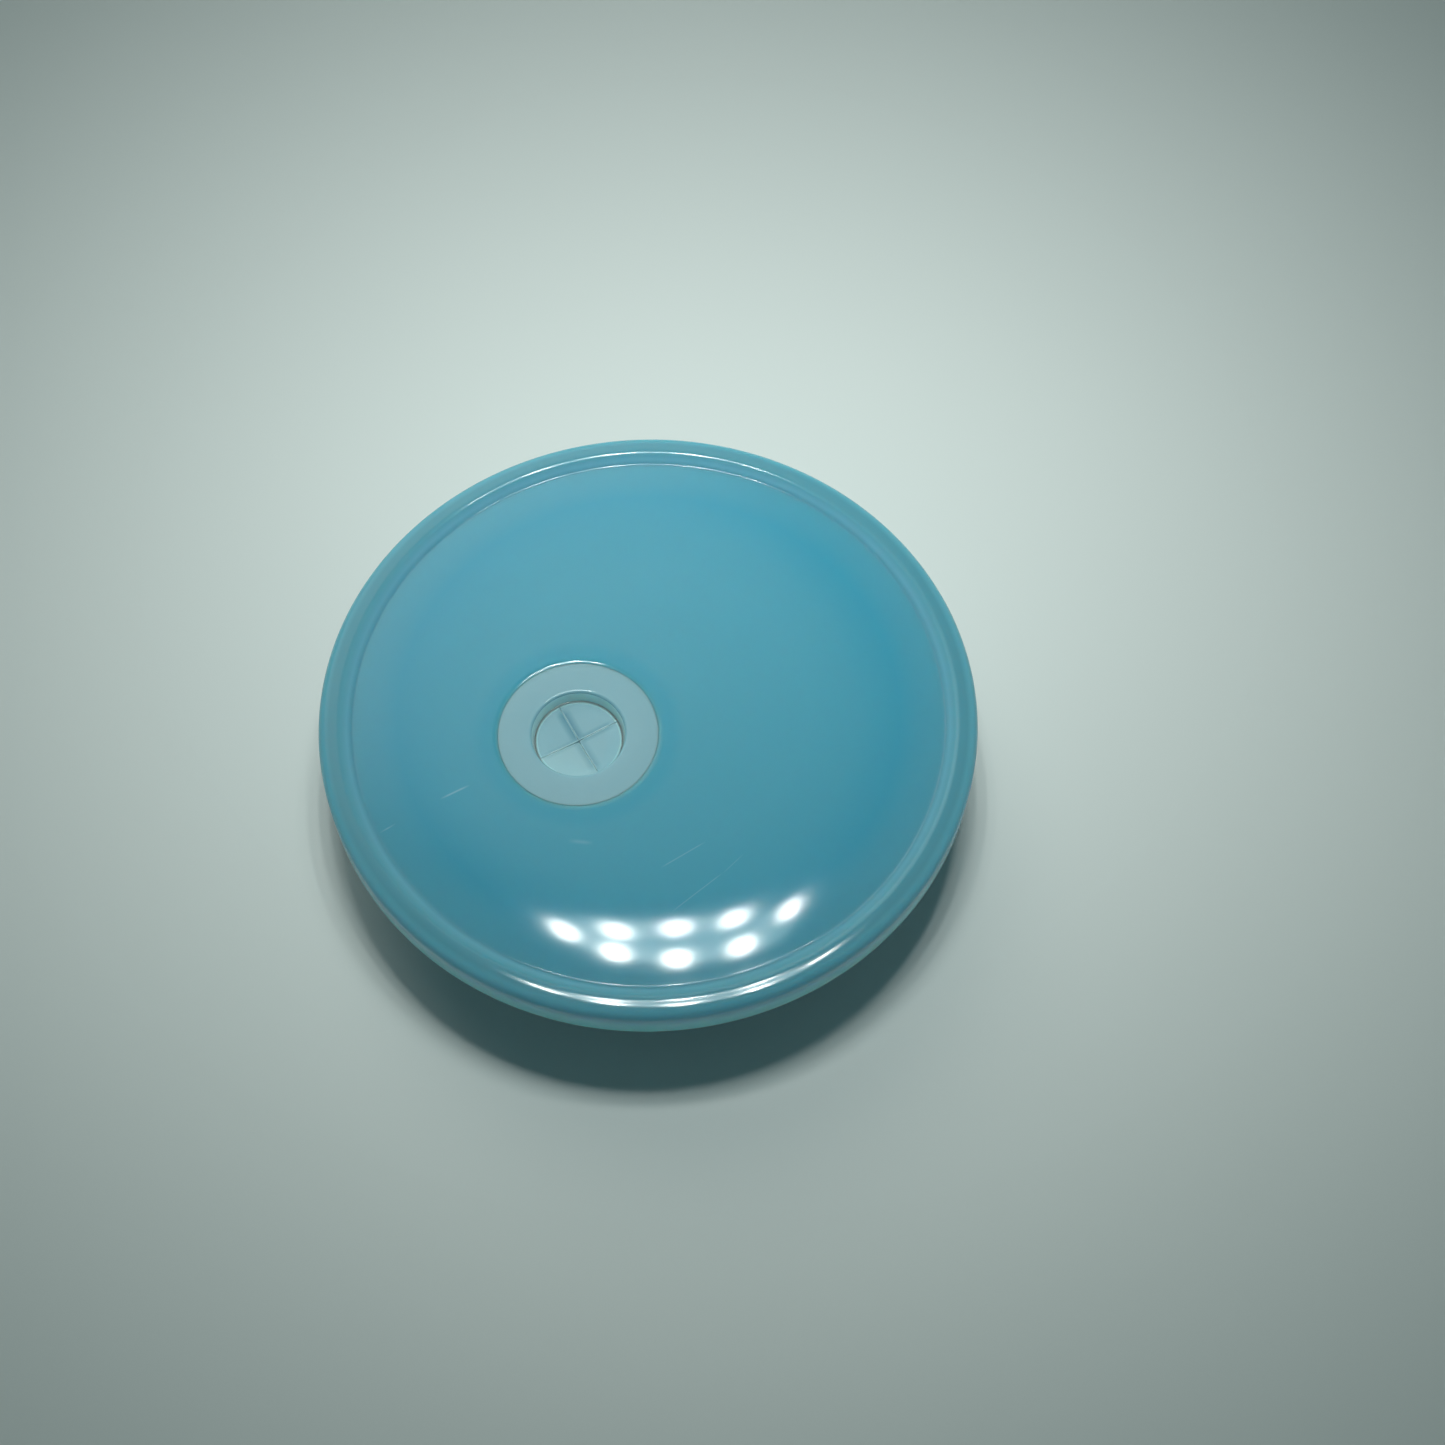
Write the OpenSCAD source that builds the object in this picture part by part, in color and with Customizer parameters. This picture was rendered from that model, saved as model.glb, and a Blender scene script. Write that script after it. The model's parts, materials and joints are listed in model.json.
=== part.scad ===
// Press-in drinking-glass lid with a cross-slit straw seal.
// A moulded plastic lid (brim, skirt, crowned top, plug and straw collar in
// one piece), a lipped sealing ring in the groove round the plug, and a soft
// straw seal snapped into the collar.  The seal's membrane is cut by a cross
// into four flaps, each on a thin hinge line.
// Millimetres, +Z up, the plug's foot on Z = 0, lid axis on Z.
// The straw hole lies on -X.

/* [Lid] */
// Outside diameter of the lid
lid_d = 72; // [68:0.5:84]
// Underside of the skirt to the ridge of the brim
rim_h = 4.3; // [4:0.1:5.6]
// Plug foot to the underside of the skirt
plug_drop = 10.8; // [9.6:0.1:14]
// Diameter of the flat middle of the crowned top
crown_flat_d = 44.8; // [40:0.2:54]
// Slope of the crown where it meets the groove inside the ridge, degrees
crown_slope = 8; // [5:0.5:16]
// Thickness of the top plate
plate_t = 1.8; // [1.4:0.1:2.2]
// Outside diameter of the plug wall
plug_d = 58.4; // [56:0.2:59.2]
// Thickness of the plug wall
plug_t = 1.6; // [1.4:0.1:2]

/* [Sealing ring] */
// Diameter over the two lips
ring_d = 61.4; // [60:0.1:62]
// Height of the ring
ring_h = 4; // [3:0.2:4.4]

/* [Straw seal] */
// Distance of the straw hole from the lid axis
hole_off = 8.4; // [4:0.2:11]
// Diameter of the seal's head
seal_d = 17.1; // [16.7:0.1:17.5]
// Diameter of the recess above the membrane
recess_d = 10.2; // [10:0.1:10.6]
// Depth of the recess
recess_depth = 1.6; // [1.3:0.1:2.2]
// Thickness of the membrane
membrane_t = 0.7; // [0.5:0.05:0.9]
// Length of one arm of the cross slit, from its middle
slit_arm = 4.6; // [4:0.1:4.7]
// Turn of the cross about the hole's axis
seal_turn = -40.2; // [-45:0.1:45]

/* [Hidden] */
$fn = 96;
R = lid_d/2;
zb = plug_drop;                 // underside of the skirt
r_crest = R - 2.0;              // ridge round the crowned top
r_groove = r_crest - 1.7;       // bottom of the groove inside the ridge
z_crest = zb + rim_h;
cr_r = 1.2;                     // rounding of the ridge, on its inside
fil = 0.5;                      // rounding of the groove
wall_a = 33;                    // slope between them
z_groove = z_crest - (cr_r + fil)*(1 - cos(wall_a))
         - (r_crest - r_groove - (cr_r + fil)*sin(wall_a))*tan(wall_a);
// shoulder of the crowned top: an arc tangent to the flat middle
r_flat = crown_flat_d/2;
sh_a = crown_slope;
sh_x = r_groove - fil*sin(sh_a);
sh_r = (sh_x - r_flat)/sin(sh_a);
z_top = z_groove + fil*(1 - cos(sh_a)) + sh_r*(1 - cos(sh_a));
z_under = z_top - plate_t;
z_roof = z_groove - 1.6;        // underside of the brim
// crowned brim, then the rounding of the outer edge
br_r = 8.7;
ed_r = 1.03;
br_cx = r_crest;
br_cz = z_crest - br_r;
br_a = asin((R - ed_r - br_cx)/(br_r - ed_r));
ed_cz = br_cz + (br_r - ed_r)*cos(br_a);
pr = plug_d/2;
pi_r = pr - plug_t;
skirt_t = 1.6;
ring_z0 = 3.2;
groove_r = pr - 0.9;            // bottom of the ring's groove

seal_r = seal_d/2;
bore_r = seal_r + 0.05;         // counterbore in the collar
bore_depth = 3.3;
z_ledge = z_top - bore_depth;   // top of the ledge
ledge_t = 1.4;
neck_r = 6.75;
ledge_r = neck_r + 0.05;
z_ledge_b = z_ledge - ledge_t;
collar_r = bore_r + 1.9;
z_seal = z_top - 0.12;          // head sits just under the lid's face
z_mem_t = z_seal - recess_depth;
z_mem = z_mem_t - membrane_t/2; // hinge level
z_mem_b = z_mem_t - membrane_t;
low_r = recess_d/2 - 0.15;      // open bore under the membrane
z_seal_b = z_ledge_b - 1.9;     // foot of the snap bead
chord = slit_arm/sqrt(2);       // hinge line, from the cross's middle
gap = 0.025;

// points on an arc, clockwise or anticlockwise
function arc(cx, cy, r, a0, a1, n) =
  [for (i = [0:n]) let (a = a0 + (a1 - a0)*i/n) [cx + r*cos(a), cy + r*sin(a)]];

lid_profile = concat(
  [[0, z_under], [0, z_top]],
  arc(r_flat, z_top - sh_r, sh_r, 90, 90 - sh_a, 12),
  arc(r_groove, z_groove + fil, fil, -90 - sh_a + 8, -90 + wall_a, 4),
  arc(r_crest, z_crest - cr_r, cr_r, 90 + wall_a, 90, 6),
  arc(br_cx, br_cz, br_r, 90 - br_a/4, 90 - br_a, 3),
  arc(R - ed_r, ed_cz, ed_r, 90 - br_a - 9, 0, 8),
  [[R, zb + 0.3], [R - 0.09, zb + 0.09], [R - 0.3, zb], [R - skirt_t + 0.3, zb],
   [R - skirt_t, zb + 0.3], [R - skirt_t, z_roof - 0.5], [R - skirt_t - 0.5, z_roof],
   [pr + 0.4, z_roof], [pr, z_roof - 0.4],
   [pr, ring_z0 + ring_h + 0.02], [groove_r, ring_z0 + ring_h + 0.02],
   [groove_r, ring_z0 - 0.02], [pr, ring_z0 - 0.02],
   [pr, 0.7], [pr - 0.4, 0], [pi_r + 0.3, 0], [pi_r, 0.3],
   [pi_r, z_under - 0.8], [pi_r - 0.24, z_under - 0.24], [pi_r - 0.8, z_under]]);

// ring section: flat back, two lips pointing out, each with a narrow land
lip_r = ring_d/2;
lip_z = [ring_z0 + 0.26*ring_h, ring_z0 + 0.72*ring_h];   // middle of each land
ring_profile = [
  [groove_r + 0.02, ring_z0], [groove_r + 0.02, ring_z0 + ring_h],
  [pr + 0.35, ring_z0 + ring_h], [pr + 0.5, ring_z0 + ring_h - 0.15],
  [lip_r - 0.10, lip_z[1] + 0.26], [lip_r, lip_z[1] + 0.15], [lip_r, lip_z[1] - 0.15], [lip_r - 0.08, lip_z[1] - 0.24],
  [pr + 0.48, lip_z[1] - 0.55], [pr + 0.4, ring_z0 + ring_h*0.50], [pr + 0.45, lip_z[0] + 0.6],
  [lip_r - 0.10, lip_z[0] + 0.26], [lip_r, lip_z[0] + 0.15], [lip_r, lip_z[0] - 0.15], [lip_r - 0.08, lip_z[0] - 0.24],
  [pr + 0.42, ring_z0 + 0.12], [pr + 0.3, ring_z0]];

// seal section, from the axis of the straw hole
seal_profile = [
  [low_r, z_seal_b + 0.25], [low_r, z_mem_b - 0.01], [0, z_mem_b - 0.01], [0, z_mem_t],
  [recess_d/2 - 0.45, z_mem_t], [recess_d/2 - 0.3, z_mem_t + 0.06], [recess_d/2 - 0.2, z_mem_t + 0.25],
  [recess_d/2, z_seal - 0.25], [recess_d/2 + 0.1, z_seal - 0.07], [recess_d/2 + 0.3, z_seal],
  [seal_r - 0.4, z_seal], [seal_r - 0.12, z_seal - 0.12], [seal_r, z_seal - 0.4],
  [seal_r, z_ledge + 0.02], [neck_r, z_ledge + 0.02], [neck_r, z_ledge_b - 0.02],
  [neck_r + 0.8, z_ledge_b - 0.02], [neck_r + 0.8, z_ledge_b - 0.5],
  [neck_r - 0.5, z_seal_b], [low_r + 0.25, z_seal_b]];

module at_hole() { translate([-hole_off, 0, 0]) children(); }

// brim, skirt, crowned top, plug and straw collar: one moulding
module lid_shell() {
  color([0.33, 0.62, 0.72])
  difference() {
    union() {
      rotate_extrude() polygon(lid_profile);
      at_hole() translate([0, 0, z_ledge_b]) cylinder(r = collar_r, h = z_under + 0.4 - z_ledge_b);
    }
    at_hole() translate([0, 0, z_ledge]) cylinder(r = bore_r, h = bore_depth + 1);
    at_hole() translate([0, 0, z_top - 0.4]) cylinder(r1 = bore_r, r2 = bore_r + 0.45, h = 0.45);
    at_hole() translate([0, 0, z_ledge_b - 1]) cylinder(r = ledge_r, h = ledge_t + 2);
  }
}

// lipped ring in the groove round the plug
module sealing_ring() {
  color([0.85, 0.88, 0.88]) rotate_extrude() polygon(ring_profile);
}

// everything on the hole's side of one hinge line, its face leaning out at
// 45 degrees above the hinge level
module inside_hinge(a) {
  rotate([0, 0, a]) translate([chord + gap, 0, 0]) rotate([0, 45, 0])
    translate([-40, -20, -20]) cube([40, 40, 40]);
}

// upper half of the square opening in the membrane
module square_half() {
  intersection() {
    inside_hinge(0);
    inside_hinge(90);
    inside_hinge(180);
    inside_hinge(270);
    translate([-6, -6, 0]) cube([12, 12, membrane_t/2 + 0.05]);
  }
}

// soft seal: head, neck, snap bead and the fixed rim of the membrane
module straw_seal_body() {
  color([0.72, 0.78, 0.79])
  difference() {
    at_hole() rotate_extrude() polygon(seal_profile);
    // the square opening in the membrane; its sides lean back from the hinge
    // level, above and below, so that the flaps can swing
    at_hole() translate([0, 0, z_mem]) rotate([0, 0, seal_turn]) {
      square_half();
      mirror([0, 0, 1]) square_half();
    }
  }
}

// one flap, drawn about the hole's axis with its hinge line square to +X:
// a wedge-edged triangle, full thickness in the middle
module flap() {
  h = membrane_t/2;
  k = 0.8*h;                     // how far a slit side leans back
  g = 1.5*gap;
  difference() {
    translate([0, 0, -h]) linear_extrude(membrane_t)
      polygon([[g, 0], [chord, -(chord - g)], [chord, (chord - g)]]);
    // above and below the hinge level
    for (s = [0, 1]) mirror([0, 0, s]) {
      // hinge side
      translate([chord, -10, 0]) rotate([0, -45, 0]) cube([3, 20, 3]);
      // slit sides
      for (a = [0, 1]) mirror([0, a, 0])
        rotate([0, 0, 45]) translate([-5, -g/sqrt(2), 0])
          rotate([atan(k/h), 0, 0]) cube([15, 3, 3]);
    }
  }
}

module flap_at(i) {
  color([0.80, 0.85, 0.86])
  at_hole() translate([0, 0, z_mem]) rotate([0, 0, seal_turn + 90*i]) flap();
}

module straw_flap_1() { flap_at(0); }
module straw_flap_2() { flap_at(1); }
module straw_flap_3() { flap_at(2); }
module straw_flap_4() { flap_at(3); }

lid_shell();
sealing_ring();
straw_seal_body();
straw_flap_1();
straw_flap_2();
straw_flap_3();
straw_flap_4();
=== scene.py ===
import bpy
import bmesh
import json
import math
import random
from mathutils import Vector, Matrix


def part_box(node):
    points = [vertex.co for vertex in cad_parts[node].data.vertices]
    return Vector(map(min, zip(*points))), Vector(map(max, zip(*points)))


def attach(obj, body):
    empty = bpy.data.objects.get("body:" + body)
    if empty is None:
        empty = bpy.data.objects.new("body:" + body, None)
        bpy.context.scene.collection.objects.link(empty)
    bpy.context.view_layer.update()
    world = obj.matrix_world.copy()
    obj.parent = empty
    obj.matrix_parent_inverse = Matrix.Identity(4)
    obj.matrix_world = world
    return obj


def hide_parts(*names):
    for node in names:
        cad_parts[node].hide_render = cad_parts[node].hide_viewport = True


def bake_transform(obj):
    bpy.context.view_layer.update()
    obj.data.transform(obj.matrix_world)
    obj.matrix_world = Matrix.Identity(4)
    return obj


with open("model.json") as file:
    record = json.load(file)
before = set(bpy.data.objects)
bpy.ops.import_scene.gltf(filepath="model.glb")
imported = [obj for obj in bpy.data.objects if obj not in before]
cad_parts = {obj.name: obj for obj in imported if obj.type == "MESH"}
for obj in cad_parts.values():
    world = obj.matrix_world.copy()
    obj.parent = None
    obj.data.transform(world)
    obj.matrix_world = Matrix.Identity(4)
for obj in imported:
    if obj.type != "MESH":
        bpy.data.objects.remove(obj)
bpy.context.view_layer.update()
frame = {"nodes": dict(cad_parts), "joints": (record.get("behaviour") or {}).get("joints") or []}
scene = bpy.context.scene
scene.view_settings.view_transform = "Standard"
MM = 0.001
PI = math.pi


def link(obj):
    scene.collection.objects.link(obj)
    return obj


# ----------------------------------------------------------------- camera
cam_d = bpy.data.cameras.new("cam")
cam_d.sensor_width = 36.0
cam_d.sensor_fit = "HORIZONTAL"
cam_d.lens = 49.827
cam_d.clip_start = 0.005
cam_d.clip_end = 20.0
cam = link(bpy.data.objects.new("cam", cam_d))
fwd = Vector((0.209835, 0.422479, -0.881749)).normalized()
rgt = Vector((0.907911, -0.418881, 0.015359))
rgt = (rgt - fwd * rgt.dot(fwd)).normalized()
upv = rgt.cross(fwd).normalized()
m = Matrix.Identity(4)
for i in range(3):
    m[i][0], m[i][1], m[i][2] = rgt[i], upv[i], -fwd[i]
m[0][3], m[1][3], m[2][3] = -39.26 * MM, -97.171 * MM, 206.742 * MM
cam.matrix_world = m
scene.camera = cam

# ------------------------------------------------- sizes, from the CAD frame
lid_lo, lid_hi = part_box("lid_shell")
ring_lo, ring_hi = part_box("sealing_ring")
seal_lo, seal_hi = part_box("straw_seal_body")
R = lid_hi.x / MM
hole_x = (seal_lo.x + seal_hi.x) / 2 / MM
seal_r = (seal_hi.x - seal_lo.x) / 2 / MM
z_seal = seal_hi.z / MM
z_foot = seal_lo.z / MM

zb = 10.8
rim_h = 4.3
z_crest = zb + rim_h
r_crest = R - 2.0
r_groove = r_crest - 1.7
cr_r, fil, wall_a = 1.2, 0.5, math.radians(33)
z_groove = (
    z_crest
    - (cr_r + fil) * (1 - math.cos(wall_a))
    - (r_crest - r_groove - (cr_r + fil) * math.sin(wall_a)) * math.tan(wall_a)
)
r_flat, sh_a = 22.4, math.radians(8)
sh_r = (r_groove - fil * math.sin(sh_a) - r_flat) / math.sin(sh_a)
z_top = z_groove + (fil + sh_r) * (1 - math.cos(sh_a))
z_under = z_top - 1.8
z_roof = z_groove - 1.6
pr, pir = 29.2, 27.6
skirt = 1.6
br_r, ed_r = 8.7, 1.03
br_a = math.asin((R - ed_r - r_crest) / (br_r - ed_r))
ed_cz = z_crest - br_r + (br_r - ed_r) * math.cos(br_a)
ring_z0, ring_h = 3.2, 4.0
groove_r = pr - 0.9
bore_r = seal_r + 0.05
z_ledge = z_top - 3.3
z_ledge_b = z_ledge - 1.4
collar_r = bore_r + 1.9
neck_r, ledge_r = 6.75, 6.80
recess_r, recess_d, mem_t = 5.1, 1.6, 0.7
z_mt = z_seal - recess_d
z_mem = z_mt - mem_t / 2
z_mb = z_mt - mem_t
low_r = 4.95
slit_arm = 4.6
chord = slit_arm / math.sqrt(2)


def arc(cx, cz, r, a0, a1, n):
    """Points on an arc in the section plane; angles in degrees."""
    out = []
    for i in range(n + 1):
        a = math.radians(a0 + (a1 - a0) * i / n)
        out.append((cx + r * math.cos(a), cz + r * math.sin(a)))
    return out


def rounded(pts, radii, n=4):
    """A polyline whose inner corners are rounded by the given radii."""
    out = [pts[0]]
    for i in range(1, len(pts) - 1):
        p, a, b = Vector(pts[i]), Vector(pts[i - 1]), Vector(pts[i + 1])
        r = radii[i] if i < len(radii) else 0
        if not r:
            out.append(tuple(p))
            continue
        u, v = (a - p).normalized(), (b - p).normalized()
        half = math.acos(max(-1, min(1, u.dot(v)))) / 2
        t = min(r / math.tan(half), (a - p).length * 0.49, (b - p).length * 0.49)
        q0, q1 = p + u * t, p + v * t
        for k in range(n + 1):
            s = k / n
            out.append(tuple(q0 * (1 - s) ** 2 + p * 2 * s * (1 - s) + q1 * s**2))
    out.append(pts[-1])
    return out


def lathe(name, rings, n, closed=True, sharp=35.0):
    """Skins a list of (centre x, radius, z) circles, in millimetres."""
    bm = bmesh.new()
    loops = []
    for cx, r, z in rings:
        loop = []
        for k in range(n):
            a = 2 * PI * k / n
            loop.append(
                bm.verts.new(
                    ((cx + r * math.cos(a)) * MM, r * math.sin(a) * MM, z * MM)
                )
            )
        loops.append(loop)
    count = len(loops) if closed else len(loops) - 1
    for i in range(count):
        a, b = loops[i], loops[(i + 1) % len(loops)]
        for k in range(n):
            j = (k + 1) % n
            bm.faces.new((a[k], a[j], b[j], b[k]))
    bmesh.ops.recalc_face_normals(bm, faces=bm.faces)
    for f in bm.faces:
        f.smooth = True
    me = bpy.data.meshes.new(name)
    bm.to_mesh(me)
    bm.free()
    me.set_sharp_from_angle(angle=math.radians(sharp))
    return link(bpy.data.objects.new(name, me))


# ---------------------------------------------------------------- lid shell
N = 360
outer = []
outer += arc(r_flat, z_top - sh_r, sh_r, 90, 90 - math.degrees(sh_a), 16)
outer += arc(r_groove, z_groove + fil, fil, -90 - math.degrees(sh_a) + 4, -90 + 33, 7)
outer += arc(r_crest, z_crest - cr_r, cr_r, 90 + 33, 90, 9)
outer += arc(r_crest, z_crest - br_r, br_r, 90 - math.degrees(br_a) / 5, 90 - math.degrees(br_a), 4)
outer += arc(R - ed_r, ed_cz, ed_r, 90 - math.degrees(br_a) - 6, 0, 12)
down = rounded(
    [
        (R, ed_cz - 0.2), (R, zb), (R - skirt, zb), (R - skirt, z_roof), (pr, z_roof),
        (pr, ring_z0 + ring_h + 0.02), (groove_r, ring_z0 + ring_h + 0.02),
        (groove_r, ring_z0 - 0.02), (pr, ring_z0 - 0.02),
        (pr, 0.0), (pir, 0.0), (pir, z_under), (pir - 3.0, z_under),
    ],
    [0, 0.3, 0.3, 0.5, 0.4, 0.1, 0.08, 0.08, 0.1, 0.55, 0.3, 0.8, 0],
    n=5,
)
outer += down
rings = [(0.0, r, z) for r, z in outer]
# underside, out to the collar, up through the straw hole and back to the top
collar = rounded(
    [
        (collar_r + 2.2, z_under), (collar_r, z_under), (collar_r, z_ledge_b), (ledge_r, z_ledge_b),
        (ledge_r, z_ledge), (bore_r, z_ledge), (bore_r, z_top - 0.21),
    ],
    [0, 0.5, 0.45, 0.2, 0.12, 0.1, 0],
    n=6,
)
for i in range(1, 13):
    a = PI / 2 * i / 12
    collar.append((bore_r + 0.80 * (1 - math.cos(a)), z_top - 0.21 * (1 - math.sin(a))))
collar.append((bore_r + 1.6, z_top))
rings += [(hole_x * 0.5, (pir - 3.0 + collar_r + 2.2) / 2 + 0.8, z_under)]
rings += [(hole_x, r, z) for r, z in collar]
for f in (0.25, 0.5, 0.75):
    rings += [(hole_x * (1 - f), (bore_r + 1.6) * (1 - f) + r_flat * f, z_top)]
lid = lathe("lid_moulding", rings, N)

# ------------------------------------------------------------- sealing ring
lip_r = (ring_hi.x) / MM
lz = [ring_z0 + 0.26 * ring_h, ring_z0 + 0.72 * ring_h]
rp = [
    (groove_r + 0.03, ring_z0 + ring_h / 2), (groove_r + 0.03, ring_z0 + ring_h), (pr + 0.45, ring_z0 + ring_h),
    (pr + 0.5, ring_z0 + ring_h - 0.2), (lip_r, lz[1] + 0.2), (lip_r, lz[1] - 0.18),
    (pr + 0.45, lz[1] - 0.6), (pr + 0.4, ring_z0 + ring_h * 0.5), (pr + 0.45, lz[0] + 0.62),
    (lip_r, lz[0] + 0.2), (lip_r, lz[0] - 0.18), (pr + 0.42, ring_z0 + 0.12), (pr + 0.3, ring_z0),
    (groove_r + 0.03, ring_z0), (groove_r + 0.03, ring_z0 + ring_h / 2 - 0.05),
]
rr = [0, 0.1, 0.15, 0.15, 0.13, 0.13, 0.25, 0.3, 0.25, 0.13, 0.13, 0.15, 0.15, 0.1, 0]
ring = lathe("lipped_ring", [(0.0, r, z) for r, z in rounded(rp, rr, n=4)], 288)

# --------------------------------------------------------------- straw seal
# its top edge is pressed a tenth of a millimetre into the rounded edge of the hole
sp = [
    (bore_r - 0.004, z_ledge + 0.6), (bore_r - 0.004, z_seal - 0.7), (bore_r + 0.13, z_seal - 0.35),
    (bore_r + 0.13, z_seal), (recess_r, z_seal), (recess_r - 0.12, z_seal - 0.8),
    (recess_r - 0.22, z_mt), (recess_r - 0.42, z_mt + 0.014), (recess_r - 0.27, z_mt - 0.03), (recess_r - 0.27, z_mb),
    (low_r, z_mb), (low_r, z_foot), (neck_r - 0.5, z_foot), (neck_r + 0.8, z_ledge_b - 0.5),
    (neck_r + 0.8, z_ledge_b - 0.02), (neck_r, z_ledge_b - 0.02), (neck_r, z_ledge + 0.02),
    (seal_r, z_ledge + 0.02), (bore_r - 0.004, z_ledge + 0.5),
]
sr = [0, 0.1, 0.1, 0.02, 0.36, 0, 0.28, 0, 0, 0, 0.15, 0.25, 0.3, 0.2, 0.1, 0.1, 0.1, 0.15, 0]
seal = lathe("straw_seal", [(hole_x, r, z) for r, z in rounded(sp, sr, n=6)], 256)


def flap_piece(name, az, droop, lift_l, lift_r):
    """One quarter of the membrane: free at the slits, fixed past the root."""
    bm = bmesh.new()
    rm = recess_r - 0.28
    h = mem_t / 2
    g = 0.008
    e = 0.12
    x0 = 0.05
    rows, xs = [], []
    n1, n2 = 46, 26
    for i in range(n1 + 1):
        xs.append(x0 + (rm * math.cos(PI / 4) - 0.02 - x0) * (i / n1))
    xa = xs[-1]
    for i in range(1, n2 + 1):
        s = i / n2
        xs.append(xa + (rm - 0.0008 - xa) * math.sin(s * PI / 2))
    cols = 20
    for x in xs:
        w = min(x - g * 1.42, math.sqrt(max(rm * rm - x * x, 1e-6)))
        w = max(w, 0.004)
        ee = min(e, w * 0.6)
        prof = []
        for j in range(cols + 1):
            prof.append(((-1 + 2 * j / cols) * (w - ee), h))
        for k in range(1, 5):
            a = PI / 2 * k / 5
            prof.append((w - ee + ee * math.sin(a), h - ee + ee * math.cos(a)))
        prof.append((w, h - ee))
        prof.append((w, -h + ee))
        for k in range(1, 5):
            a = PI / 2 * k / 5
            prof.append((w - ee + ee * math.cos(a), -h + ee - ee * math.sin(a)))
        for j in range(cols + 1):
            prof.append(((1 - 2 * j / cols) * (w - ee), -h))
        for k in range(1, 5):
            a = PI / 2 * k / 5
            prof.append((-w + ee - ee * math.sin(a), -h + ee - ee * math.cos(a)))
        prof.append((-w, -h + ee))
        prof.append((-w, h - ee))
        for k in range(1, 5):
            a = PI / 2 * k / 5
            prof.append((-w + ee - ee * math.cos(a), h - ee + ee * math.sin(a)))
        row = []
        for y, z in prof:
            t = max(0.0, (chord - x) / chord)
            side = y / max(x, 0.2)
            dz = -droop * t**1.35 + t * (lift_l * max(0, side) ** 2 + lift_r * max(0, -side) ** 2)
            row.append(bm.verts.new((x, y, z + dz)))
        rows.append(row)
    m = len(rows[0])
    for a, b in zip(rows, rows[1:]):
        for k in range(m):
            j = (k + 1) % m
            bm.faces.new((a[k], a[j], b[j], b[k]))
    bm.faces.new(rows[0])
    bm.faces.new(list(reversed(rows[-1])))
    bmesh.ops.remove_doubles(bm, verts=bm.verts, dist=1e-4)
    bmesh.ops.recalc_face_normals(bm, faces=bm.faces)
    ca, sa = math.cos(math.radians(az)), math.sin(math.radians(az))
    for v in bm.verts:
        x, y, z = v.co
        v.co = Vector(((hole_x + x * ca - y * sa) * MM, (x * sa + y * ca) * MM, (z_mem + z) * MM))
    for f in bm.faces:
        f.smooth = True
    me = bpy.data.meshes.new(name)
    bm.to_mesh(me)
    bm.free()
    me.set_sharp_from_angle(angle=math.radians(50))
    return link(bpy.data.objects.new(name, me))


flaps = []
droops = {1: (0.25, 0, 0), 2: (0.12, 0, 0), 3: (0.15, 0, 0), 4: (0.42, 0, 0)}
for j in frame["joints"]:
    i = int(j["child"].rsplit("_", 1)[1])
    px, py, pz = (c / MM for c in j["pos_m"])
    az = math.degrees(math.atan2(py, px - hole_x))
    flaps.append((i, az, flap_piece("membrane_quarter_%d" % i, az, *droops[i]), j))

# ---------------------------------------------------------------- materials


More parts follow.
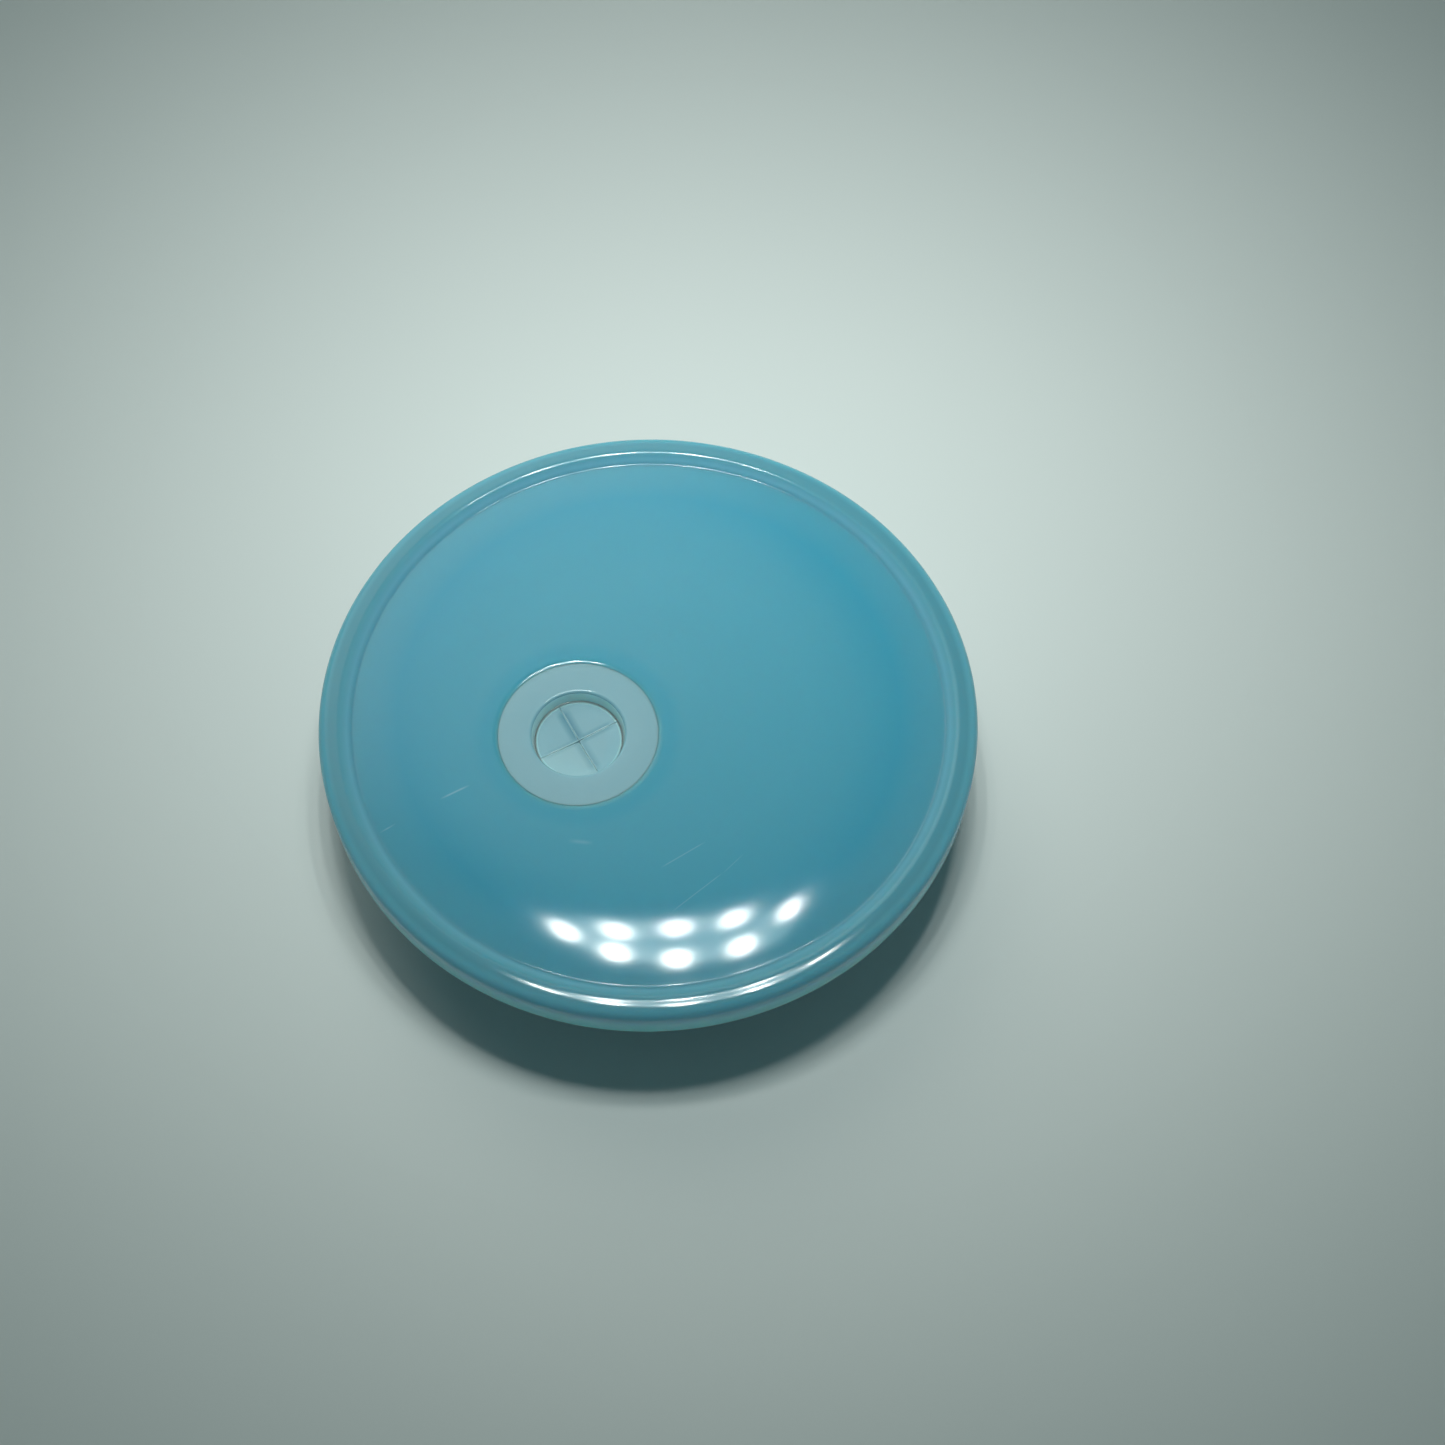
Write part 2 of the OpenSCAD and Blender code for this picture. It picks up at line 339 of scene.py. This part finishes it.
class Mat:
    def __init__(self, name):
        self.m = bpy.data.materials.new(name)
        self.m.use_nodes = True
        self.t = self.m.node_tree
        self.b = self.t.nodes["Principled BSDF"]
        self.tc = self.t.nodes.new("ShaderNodeTexCoord")

    def node(self, kind, **props):
        n = self.t.nodes.new(kind)
        for k, v in props.items():
            setattr(n, k, v)
        return n

    def join(self, a, b):
        self.t.links.new(a, b)

    def mapped(self, scale, rot=(0, 0, 0)):
        n = self.node("ShaderNodeMapping")
        n.inputs["Scale"].default_value = scale
        n.inputs["Rotation"].default_value = rot
        self.join(self.tc.outputs["Object"], n.inputs["Vector"])
        return n.outputs["Vector"]

    def noise(self, scale, detail=3.0, rough=0.5, vec=None, dist=0.0):
        n = self.node("ShaderNodeTexNoise")
        n.inputs["Scale"].default_value = scale
        n.inputs["Detail"].default_value = detail
        n.inputs["Roughness"].default_value = rough
        n.inputs["Distortion"].default_value = dist
        self.join(vec or self.tc.outputs["Object"], n.inputs["Vector"])
        return n.outputs["Fac"]

    def ramp(self, fac, stops, interp="LINEAR"):
        n = self.node("ShaderNodeValToRGB")
        n.color_ramp.interpolation = interp
        el = n.color_ramp.elements
        while len(el) > 1:
            el.remove(el[-1])
        el[0].position, el[0].color = stops[0][0], tuple(stops[0][1]) + (1,)
        for p, c in stops[1:]:
            e = el.new(p)
            e.color = tuple(c) + (1,)
        self.join(fac, n.inputs["Fac"])
        return n.outputs["Color"]

    def math(self, op, a, b=None, clamp=False):
        n = self.node("ShaderNodeMath", operation=op, use_clamp=clamp)
        for i, v in enumerate((a, b)):
            if v is None:
                continue
            if isinstance(v, (int, float)):
                n.inputs[i].default_value = v
            else:
                self.join(v, n.inputs[i])
        return n.outputs[0]

    def mix(self, fac, a, b, kind="MIX"):
        n = self.node("ShaderNodeMix", data_type="RGBA", blend_type=kind)
        for i, v in ((0, fac), (6, a), (7, b)):
            if isinstance(v, (int, float)):
                n.inputs[i].default_value = v
            elif isinstance(v, tuple):
                n.inputs[i].default_value = v + (1,)
            else:
                self.join(v, n.inputs[i])
        return n.outputs[2]

    def radius(self, cx=0.0, cy=0.0):
        """Distance in millimetres from a vertical axis."""
        s = self.node("ShaderNodeSeparateXYZ")
        self.join(self.tc.outputs["Object"], s.inputs[0])
        x = self.math("SUBTRACT", s.outputs[0], cx * MM)
        y = self.math("SUBTRACT", s.outputs[1], cy * MM)
        r = self.math("SQRT", self.math("ADD", self.math("MULTIPLY", x, x), self.math("MULTIPLY", y, y)))
        return self.math("MULTIPLY", r, 1000.0)

    def height(self):
        s = self.node("ShaderNodeSeparateXYZ")
        self.join(self.tc.outputs["Object"], s.inputs[0])
        return self.math("MULTIPLY", s.outputs[2], 1000.0)

    def along(self, cx, cy, az):
        """Coordinates, in millimetres, along and across a line through (cx, cy)."""
        s = self.node("ShaderNodeSeparateXYZ")
        self.join(self.tc.outputs["Object"], s.inputs[0])
        x = self.math("SUBTRACT", self.math("MULTIPLY", s.outputs[0], 1000.0), cx)
        y = self.math("SUBTRACT", self.math("MULTIPLY", s.outputs[1], 1000.0), cy)
        ca, sa = math.cos(az), math.sin(az)
        t = self.math("ADD", self.math("MULTIPLY", x, ca), self.math("MULTIPLY", y, sa))
        d = self.math("SUBTRACT", self.math("MULTIPLY", y, ca), self.math("MULTIPLY", x, sa))
        return t, self.math("ABSOLUTE", d)

    def segment(self, x0, y0, x1, y1, width):
        """One on a thin segment, fading to nothing at its sides and ends."""
        ln = math.hypot(x1 - x0, y1 - y0)
        t, d = self.along((x0 + x1) / 2, (y0 + y1) / 2, math.atan2(y1 - y0, x1 - x0))
        side = self.math("SUBTRACT", 1.0, self.math("DIVIDE", d, width), clamp=True)
        end = self.math("SUBTRACT", ln / 2, self.math("ABSOLUTE", t), clamp=True)
        return self.math("MULTIPLY", side, end)

    def bump(self, height, strength, distance):
        n = self.node("ShaderNodeBump")
        n.inputs["Strength"].default_value = strength
        n.inputs["Distance"].default_value = distance
        self.join(height, n.inputs["Height"])
        self.join(n.outputs["Normal"], self.b.inputs["Normal"])
        return n

    def set(self, **kw):
        for k, v in kw.items():
            self.b.inputs[k.replace("_", " ")].default_value = v


# light hairline scratches on the top, and one painted glint: ends, half width and strength, in millimetres
SCRATCHES_AND_GLINT = [
    (-24.87, -1.32, -21.36, -1.08, 0.16, 0.34), (-6.8, -18.3, -1.2, -17.5, 0.10, 0.22),
    (-7.7, -23.3, -1.1, -21.5, 0.08, 0.22), (-32.1, -2.1, -30.1, -1.9, 0.12, 0.28),
    # painted highlight: the first mark on this line, the wide one below the straw hole, is a glint of the collar's
    # lower edge seen through the plate, not a scratch
    (-14.4, -11.4, -12.0, -12.8, 0.34, 0.16), (-1.2, -21.6, 1.9, -20.4, 0.07, 0.16),
]


def plastic():
    k = Mat("blue_plastic")
    r = k.radius()
    rn = k.math("DIVIDE", r, R)
    # radial colour ramp, largely painted light and shade: paler over the brim where light comes up through it from the
    # table, darker and deeper blue over the plug's hollow, and painted lighter on the groove wall and the outer edge to
    # lift their shade
    base = k.ramp(
        rn,
        [
            (0.0, (0.104, 0.398, 0.510)), (0.48, (0.098, 0.396, 0.516)), (0.62, (0.086, 0.384, 0.508)),
            (0.69, (0.072, 0.372, 0.504)), (0.76, (0.060, 0.360, 0.498)), (0.82, (0.084, 0.368, 0.488)),
            (0.89, (0.100, 0.374, 0.480)), (0.900, (0.125, 0.395, 0.500)), (0.914, (0.190, 0.480, 0.590)),
            (0.930, (0.145, 0.400, 0.485)), (0.940, (0.110, 0.340, 0.415)), (0.965, (0.108, 0.336, 0.410)),
            (0.985, (0.150, 0.430, 0.525)), (1.0, (0.190, 0.480, 0.580)),
        ],
    )
    rh = k.radius(hole_x)
    # painted shade: deeper, darker blue around the straw hole, over the thick collar beneath, where less light comes
    # through
    halo = k.ramp(k.math("DIVIDE", rh, 16.0), [(0.0, (1, 1, 1)), (0.62, (1, 1, 1)), (0.74, (0, 0, 0)), (1.0, (0, 0, 0))], "EASE")
    base = k.mix(k.math("MULTIPLY", halo, 0.6), base, (0.062, 0.372, 0.508))
    # painted light: the lid is painted paler close to the hole's edge, lifting the shade of the step down to the seal
    lip = k.math("DIVIDE", k.math("SUBTRACT", bore_r + 0.45, rh), 0.4, clamp=True)
    base = k.mix(k.math("MULTIPLY", lip, 0.42), base, (0.30, 0.74, 0.88))
    cloud = k.noise(38.0, 3.0, 0.55)
    base = k.mix(k.math("MULTIPLY", cloud, 0.10), base, (0.15, 0.44, 0.54))
    # painted light: the thin turned-down edge is painted paler, standing in for light piped down through it
    edge = k.ramp(k.math("DIVIDE", k.height(), 20.0), [(0.0, (1, 1, 1)), (0.61, (1, 1, 1)), (0.715, (0, 0, 0))], "EASE")
    edge = k.math("MULTIPLY", edge, k.math("GREATER_THAN", r, 34.9))
    base = k.mix(k.math("MULTIPLY", edge, 0.9), base, (0.34, 0.86, 1.0))
    # a few light hairline scratches, and the painted glint below the straw hole
    scratch_and_glint_marks = None
    for x0, y0, x1, y1, wd, st in SCRATCHES_AND_GLINT:
        q = k.math("MULTIPLY", k.segment(x0, y0, x1, y1, wd), st)
        scratch_and_glint_marks = q if scratch_and_glint_marks is None else k.math("MAXIMUM", scratch_and_glint_marks, q)
    scratch_and_glint_marks = k.math("MULTIPLY", scratch_and_glint_marks, k.math("GREATER_THAN", k.height(), z_groove - 0.5))
    base = k.mix(scratch_and_glint_marks, base, (0.62, 0.80, 0.85))
    k.join(base, k.b.inputs["Base Color"])
    # fine scratches: two crossed sets of thin stretched noise
    s1 = k.noise(60.0, 2.0, 0.6, k.mapped((1.0, 26.0, 1.0), (0, 0, 0.7)))
    s2 = k.noise(60.0, 2.0, 0.6, k.mapped((1.0, 30.0, 1.0), (0, 0, -0.35)))
    sc = k.math("MAXIMUM", k.math("GREATER_THAN", s1, 0.76), k.math("GREATER_THAN", s2, 0.77))
    k.join(k.math("ADD", k.math("MULTIPLY", sc, 0.10), 0.55), k.b.inputs["Roughness"])
    wave = k.noise(140.0, 2.0, 0.5)
    k.bump(k.math("ADD", wave, k.math("MULTIPLY", sc, -0.25)), 0.05, 0.0004)
    k.set(IOR=1.49, Coat_Weight=0.70, Coat_IOR=1.5, Coat_Roughness=0.09, Subsurface_Weight=1.0, Subsurface_Scale=0.0032)
    k.b.inputs["Subsurface Radius"].default_value = (0.35, 0.8, 1.0)
    k.b.inputs["Specular IOR Level"].default_value = 0.08
    return k.m


def silicone(name, col, weight, rough, scale, cut=False):
    k = Mat(name)
    n = k.noise(90.0, 4.0, 0.6)
    fine = k.noise(900.0, 2.0, 0.6)
    c = k.mix(k.math("MULTIPLY", n, 0.5), tuple(x * 0.95 for x in col), tuple(min(1, x * 1.05) for x in col))
    if cut:
        # painted light: the wall of the recess is painted pale, standing in for light soaking through it, so it hardly
        # darkens in its shade
        rh = k.radius(hole_x)
        zz = k.height()
        wall = k.math("MULTIPLY", k.math("GREATER_THAN", rh, recess_r - 0.55), k.math("LESS_THAN", rh, recess_r + 0.05))
        wall = k.math("MULTIPLY", wall, k.math("LESS_THAN", zz, z_seal - 0.28))
        wall = k.math("MULTIPLY", wall, k.math("GREATER_THAN", zz, z_mt + 0.04))
        c = k.mix(wall, c, (0.74, 1.0, 1.0))
        # painted light: the foot of the recess, where the wall meets the flaps, is painted paler to lift the dark line
        # of shade there
        foot = k.math("MULTIPLY", k.math("GREATER_THAN", rh, recess_r - 0.62), k.math("LESS_THAN", rh, recess_r + 0.05))
        foot = k.math("MULTIPLY", foot, k.math("MULTIPLY", k.math("LESS_THAN", zz, z_mt + 0.30), k.math("GREATER_THAN", zz, z_mb - 0.1)))
        c = k.mix(k.math("MULTIPLY", foot, 0.38), c, (0.50, 0.94, 1.0))
        # towards its outer edge the blue of the lid shows through
        rim = k.math("DIVIDE", k.math("SUBTRACT", rh, seal_r - 0.45), 0.45, clamp=True)
        c = k.mix(k.math("MULTIPLY", k.math("MULTIPLY", rim, rim), 0.15), c, (0.20, 0.56, 0.68))
        # painted shade: the cuts show as soft, darker bands where shade falls between the flaps
        for az, width, amount in ((94.8, 0.95, 1.0), (184.8, 0.50, 0.40), (4.8, 0.62, 0.78), (274.8, 0.85, 0.58)):
            t, d = k.along(hole_x, 0.0, math.radians(az))
            side = k.math("MULTIPLY", k.math("SUBTRACT", slit_arm - 0.1, t, clamp=True), k.math("ADD", k.math("MULTIPLY", t, 1.4), 0.2, clamp=True))
            f = k.math("MULTIPLY", k.math("SUBTRACT", 1.0, k.math("DIVIDE", d, width), clamp=True), side)
            c = k.mix(k.math("MULTIPLY", f, amount), c, (0.06, 0.24, 0.33))
            # painted light: a narrow lighter line on each cut lifts the shade in its groove
            f = k.math("MULTIPLY", k.math("SUBTRACT", 1.0, k.math("DIVIDE", d, 0.14), clamp=True), side)
            c = k.mix(k.math("MULTIPLY", f, 0.85), c, (0.70, 0.95, 1.0))
    k.join(c, k.b.inputs["Base Color"])
    k.join(k.math("ADD", k.math("MULTIPLY", fine, 0.12), rough - 0.06), k.b.inputs["Roughness"])
    k.bump(k.math("ADD", fine, k.math("MULTIPLY", n, 0.6)), 0.12, 0.0002)
    k.set(IOR=1.41, Subsurface_Weight=weight, Subsurface_Scale=scale, Coat_Weight=0.6, Coat_Roughness=0.1)
    k.b.inputs["Subsurface Radius"].default_value = (0.8, 1.0, 1.1)
    return k.m


def floor_mat():
    k = Mat("table")
    n = k.noise(9.0, 3.0, 0.5)
    c = k.mix(n, (0.735, 0.765, 0.74), (0.765, 0.79, 0.765))
    k.join(c, k.b.inputs["Base Color"])
    k.set(Roughness=0.55)
    k.b.inputs["Specular IOR Level"].default_value = 0.3
    return k.m


MAT_LID = plastic()
MAT_SEAL = silicone("milky_silicone", (0.270, 0.490, 0.560), 1.0, 0.48, 0.0011, cut=True)
# painted light: a lighter copy of the seal's silicone, for the one flap that shows brighter than the others
MAT_SEAL_PAINTED_LIGHT = silicone("milky_silicone_painted_light", (0.335, 0.545, 0.600), 1.0, 0.48, 0.0011, cut=True)
MAT_RING = silicone("clear_silicone", (0.74, 0.78, 0.78), 0.5, 0.30, 0.0015)
MAT_FLOOR = floor_mat()


def dress(obj, mat):
    obj.data.materials.clear()
    obj.data.materials.append(mat)


dress(lid, MAT_LID)
dress(ring, MAT_RING)
dress(seal, MAT_SEAL)

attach(lid, "lid")
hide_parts("lid_shell")
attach(ring, "lid")
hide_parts("sealing_ring")
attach(seal, "lid")
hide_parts("straw_seal_body")
for i, az, piece, j in flaps:
    # flap 4 gets the lighter, painted-light copy of the silicone
    dress(piece, MAT_SEAL_PAINTED_LIGHT if i == 4 else MAT_SEAL)

    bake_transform(piece)
    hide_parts("straw_flap_%d" % i)
for n, o in frame["nodes"].items():
    dress(o, MAT_SEAL if "flap" in n or "seal_body" in n else MAT_RING if "ring" in n else MAT_LID)

# ---------------------------------------------------------------- floor, light
me = bpy.data.meshes.new("table_top")
bm = bmesh.new()
bmesh.ops.create_grid(bm, x_segments=8, y_segments=8, size=1.5)
bm.to_mesh(me)
bm.free()
floor = link(bpy.data.objects.new("table_top", me))
floor.location = (0, 0, -0.0001)
dress(floor, MAT_FLOOR)

LAMP_Z = 0.290
LAMPS = [(-17.6, 54.1), (4.6, 51.7), (25.9, 45.8), (46.6, 38.4), (68.4, 22.7), (42.2, 6.6), (14.2, 13.1), (-6.9, 30.4)]
for i, (x, y) in enumerate(LAMPS):
    ld = bpy.data.lights.new("lamp_%d" % i, "AREA")
    ld.shape = "ELLIPSE"
    ld.size = 0.0090
    ld.size_y = 0.0190
    ld.energy = 0.0067
    ld.spread = math.radians(57)
    ld.color = (0.96, 1.0, 0.97)
    lo = link(bpy.data.objects.new("lamp_%d" % i, ld))
    lo.location = (x * MM, y * MM, LAMP_Z)
    lo.rotation_euler = (0, 0, math.radians(-16))
# faint glow of the lamp's face between its lights
ld = bpy.data.lights.new("lamp_face", "AREA")
ld.shape = "ELLIPSE"
ld.size = 0.108
ld.size_y = 0.050
ld.energy = 0.0115
ld.spread = math.radians(57)
ld.color = (0.66, 0.95, 1.0)
lo = link(bpy.data.objects.new("lamp_face", ld))
lo.location = (0.0222, 0.0328, LAMP_Z + 0.004)
lo.rotation_euler = (0, 0, math.radians(-33.5))

w = bpy.data.worlds.new("studio")
scene.world = w
w.use_nodes = True
bg = w.node_tree.nodes["Background"]
# dim room with one soft, pale wall on the far side
nt = w.node_tree
tc = nt.nodes.new("ShaderNodeTexCoord")
dt = nt.nodes.new("ShaderNodeVectorMath")
dt.operation = "DOT_PRODUCT"
dt.inputs[1].default_value = (0.025, 0.7185, 0.695)
nt.links.new(tc.outputs["Generated"], dt.inputs[0])
mr = nt.nodes.new("ShaderNodeMapRange")
mr.interpolation_type = "SMOOTHSTEP"
mr.inputs["From Min"].default_value = 0.895
mr.inputs["From Max"].default_value = 0.99
nt.links.new(dt.outputs["Value"], mr.inputs["Value"])
mx = nt.nodes.new("ShaderNodeMix")
mx.data_type = "RGBA"
mx.inputs[6].default_value = (0.054, 0.102, 0.109, 1)
mx.inputs[7].default_value = (1.50, 1.56, 1.45, 1)
nt.links.new(mr.outputs["Result"], mx.inputs[0])
nt.links.new(mx.outputs[2], bg.inputs["Color"])
bg.inputs["Strength"].default_value = 1.0
